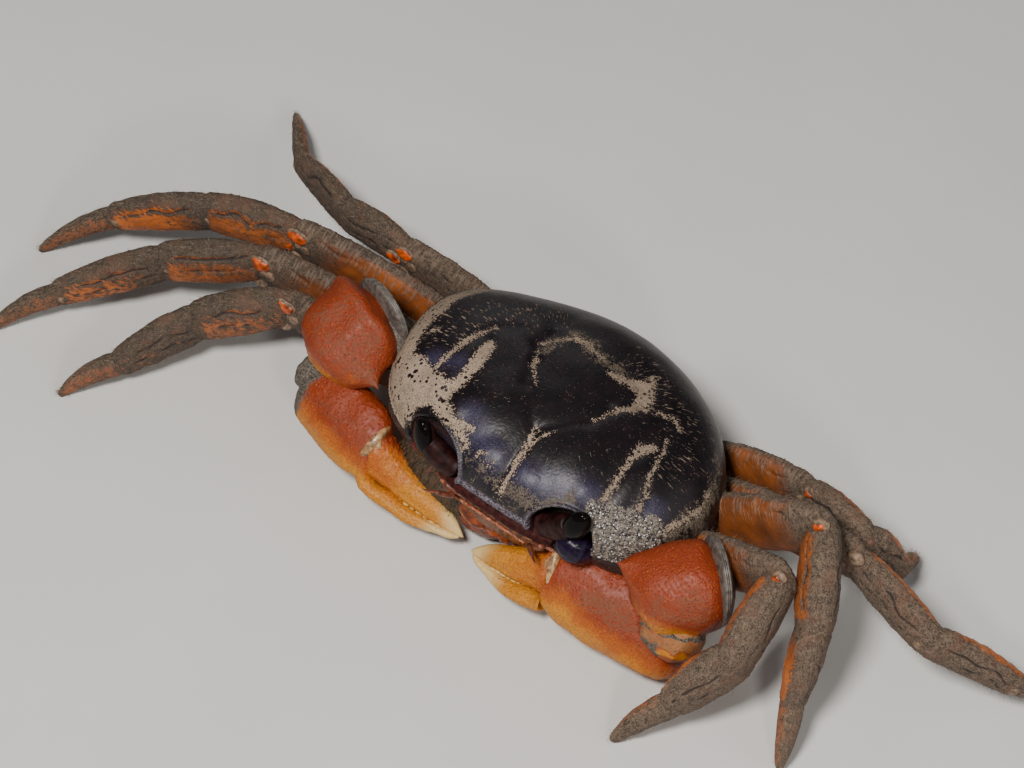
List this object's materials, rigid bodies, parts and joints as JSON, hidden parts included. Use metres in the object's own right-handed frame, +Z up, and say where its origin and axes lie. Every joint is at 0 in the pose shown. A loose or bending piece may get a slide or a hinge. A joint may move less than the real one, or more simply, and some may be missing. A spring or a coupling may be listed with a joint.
{
  "type": "land crab",
  "caption": "Life-size still model of a land crab resting low, dark glossy shell streaked with dry mud, orange claws folded before the mouth, legs spread.",
  "frame": {"origin": "on the floor under the middle of the belly plate, where the folded tail flap rests", "axes": "+X to the crab's own left, -Y the way it faces, +Z up"},
  "size_m": [0.1667, 0.0636, 0.03],
  "materials": {
    "shell_dark": "glossy purple-black shell with dry mud",
    "underside": "pale cream-orange breast and belly plates",
    "claw_orange": "granular red-orange claw shell",
    "leg_brown": "dusty grey-brown leg shell with fine setae",
    "mouth_red": "orange-red mouth plates",
    "eye_black": "polished black cornea",
    "eyestalk": "dark red-brown eyestalk"
  },
  "bodies": {
    "root": {"carapace": "shell_dark", "thorax": "underside", "pleon": "underside", "cornea_L": "eye_black", "eyestalk_L": "eyestalk", "maxilliped_L": "mouth_red", "antenna_L": "mouth_red", "claw_L_merus": "claw_orange", "claw_L_carpus": "claw_orange", "claw_L_palm": "claw_orange", "claw_L_dactyl": "claw_orange", "leg_L2_base": "leg_brown", "leg_L2_merus": "leg_brown", "leg_L2_carpus": "leg_brown", "leg_L2_propodus": "leg_brown", "leg_L2_dactyl": "leg_brown", "leg_L3_base": "leg_brown", "leg_L3_merus": "leg_brown", "leg_L3_carpus": "leg_brown", "leg_L3_propodus": "leg_brown", "leg_L3_dactyl": "leg_brown", "leg_L4_base": "leg_brown", "leg_L4_merus": "leg_brown", "leg_L4_carpus": "leg_brown", "leg_L4_propodus": "leg_brown", "leg_L4_dactyl": "leg_brown", "leg_L5_base": "leg_brown", "leg_L5_merus": "leg_brown", "leg_L5_carpus": "leg_brown", "leg_L5_propodus": "leg_brown", "leg_L5_dactyl": "leg_brown", "cornea_R": "eye_black", "eyestalk_R": "eyestalk", "maxilliped_R": "mouth_red", "antenna_R": "mouth_red", "claw_R_merus": "claw_orange", "claw_R_carpus": "claw_orange", "claw_R_palm": "claw_orange", "claw_R_dactyl": "claw_orange", "leg_R2_base": "leg_brown", "leg_R2_merus": "leg_brown", "leg_R2_carpus": "leg_brown", "leg_R2_propodus": "leg_brown", "leg_R2_dactyl": "leg_brown", "leg_R3_base": "leg_brown", "leg_R3_merus": "leg_brown", "leg_R3_carpus": "leg_brown", "leg_R3_propodus": "leg_brown", "leg_R3_dactyl": "leg_brown", "leg_R4_base": "leg_brown", "leg_R4_merus": "leg_brown", "leg_R4_carpus": "leg_brown", "leg_R4_propodus": "leg_brown", "leg_R4_dactyl": "leg_brown", "leg_R5_base": "leg_brown", "leg_R5_merus": "leg_brown", "leg_R5_carpus": "leg_brown", "leg_R5_propodus": "leg_brown", "leg_R5_dactyl": "leg_brown"}
  },
  "joints": []
}
